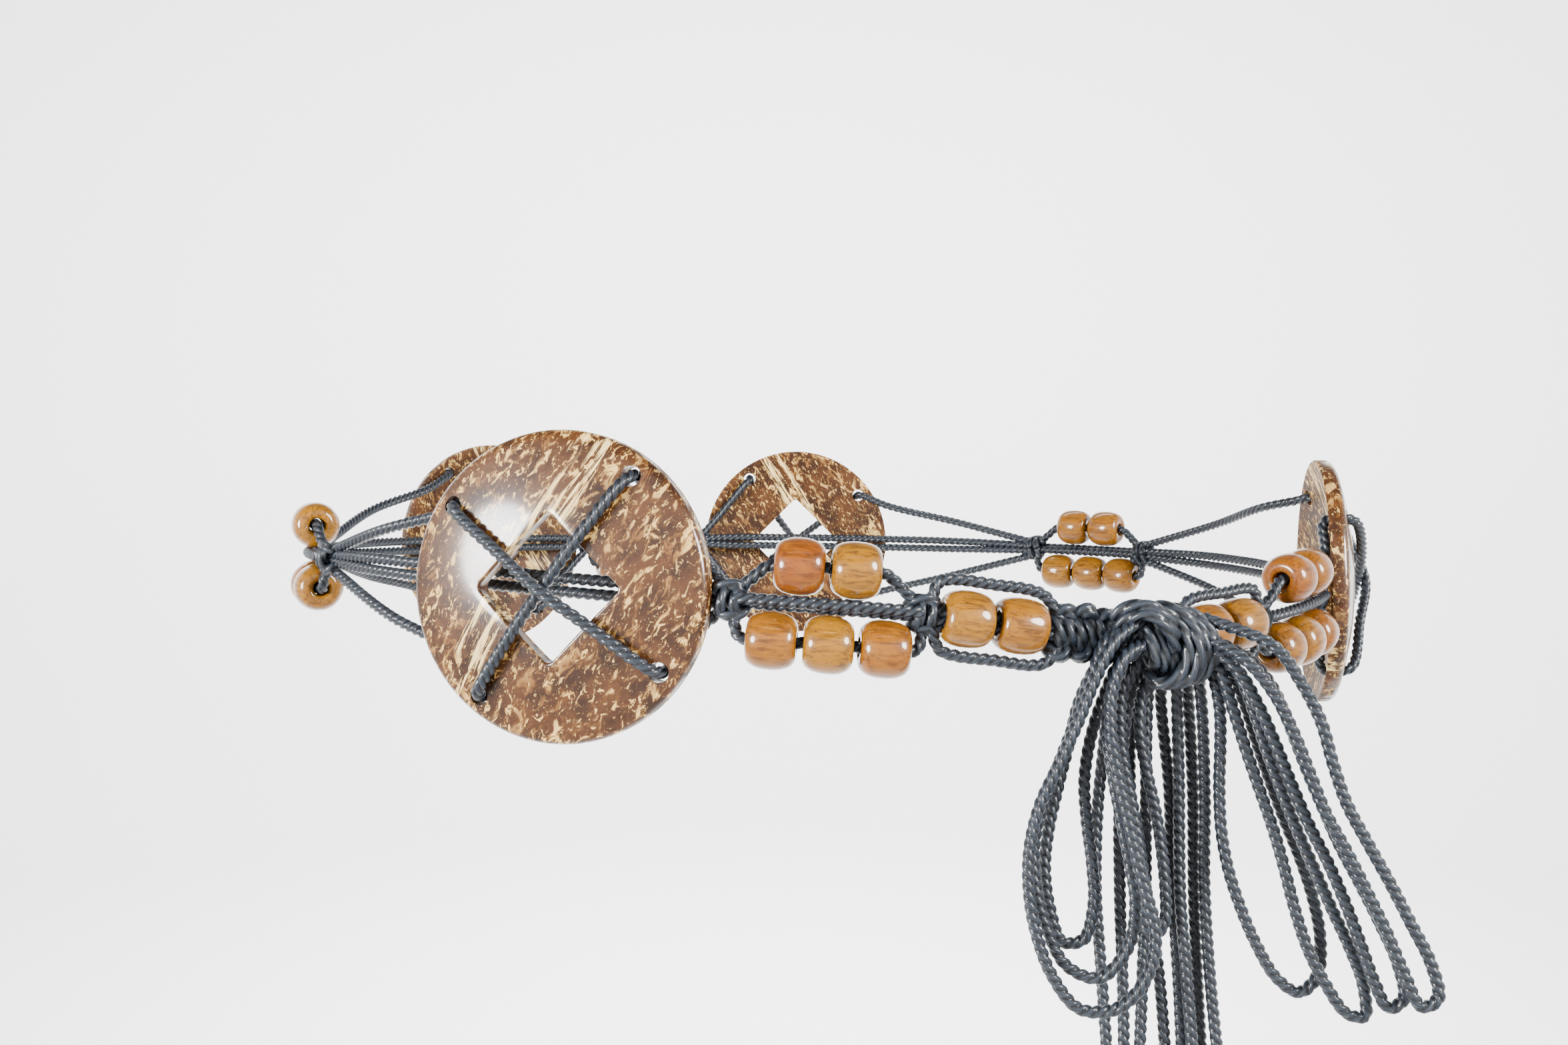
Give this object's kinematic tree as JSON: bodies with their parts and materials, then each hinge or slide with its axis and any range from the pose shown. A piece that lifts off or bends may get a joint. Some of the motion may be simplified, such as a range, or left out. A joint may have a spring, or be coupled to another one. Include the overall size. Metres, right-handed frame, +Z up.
{
  "type": "rope belt",
  "caption": "Waist belt of knotted waxed cord with round lacquered shell discs and small wooden beads, tied at the front in a looped bow with long loose ends.",
  "frame": {"origin": "middle of the wearer's waist, in the middle of the hollow that the belt goes round", "axes": "+Z up along the wearer's body, -Y out of the wearer's front where the bow is tied, +X to the right of someone who looks at the front"},
  "size_m": [0.2452, 0.1973, 0.128],
  "materials": {
    "cord": "waxed three-ply cord, slate blue-black with pale wax glints",
    "bead": "clear glossy varnish over amber wood grain",
    "disc": "polished dark coconut shell with cream flecks, glossy varnish"
  },
  "bodies": {
    "root": {"left_end_cords": "cord", "front_group_cords": "cord", "front_disc_cords": "cord", "left_group_cords": "cord", "left_disc_cords": "cord", "back_group_cords": "cord", "back_disc_cords": "cord", "right_group_cords": "cord", "side_disc_cords": "cord", "right_end_cords": "cord", "bow_knot": "cord", "front_bead_upper_1": "bead", "front_bead_upper_2": "bead", "front_bead_lower_1": "bead", "front_bead_lower_2": "bead", "front_bead_lower_3": "bead", "side_bead_upper_1": "bead", "side_bead_upper_2": "bead", "side_bead_lower_1": "bead", "side_bead_lower_2": "bead", "side_bead_lower_3": "bead", "right_bead_upper_1": "bead", "right_bead_upper_2": "bead", "right_bead_lower_1": "bead", "right_bead_lower_2": "bead", "right_bead_lower_3": "bead", "back_bead_upper_1": "bead", "back_bead_upper_2": "bead", "back_bead_lower_1": "bead", "back_bead_lower_2": "bead", "back_bead_lower_3": "bead", "left_bead_upper_1": "bead", "left_bead_upper_2": "bead", "left_bead_lower_1": "bead", "left_bead_lower_2": "bead", "left_bead_lower_3": "bead", "front_pair_bead_1": "bead", "front_pair_bead_2": "bead", "side_pair_bead_1": "bead", "side_pair_bead_2": "bead", "front_disc": "disc", "side_disc": "disc", "back_disc": "disc", "left_disc": "disc", "bow_loop_left_1": "cord", "bow_loop_left_2": "cord", "bow_loop_left_3": "cord", "bow_loop_left_4": "cord", "bow_loop_right_1": "cord", "bow_loop_right_2": "cord", "bow_loop_right_3": "cord", "bow_loop_right_4": "cord", "bow_tail_1": "cord", "bow_tail_2": "cord", "bow_tail_3": "cord", "bow_tail_4": "cord", "bow_tail_5": "cord", "bow_tail_6": "cord", "bow_tail_7": "cord", "bow_tail_8": "cord"}
  },
  "joints": []
}
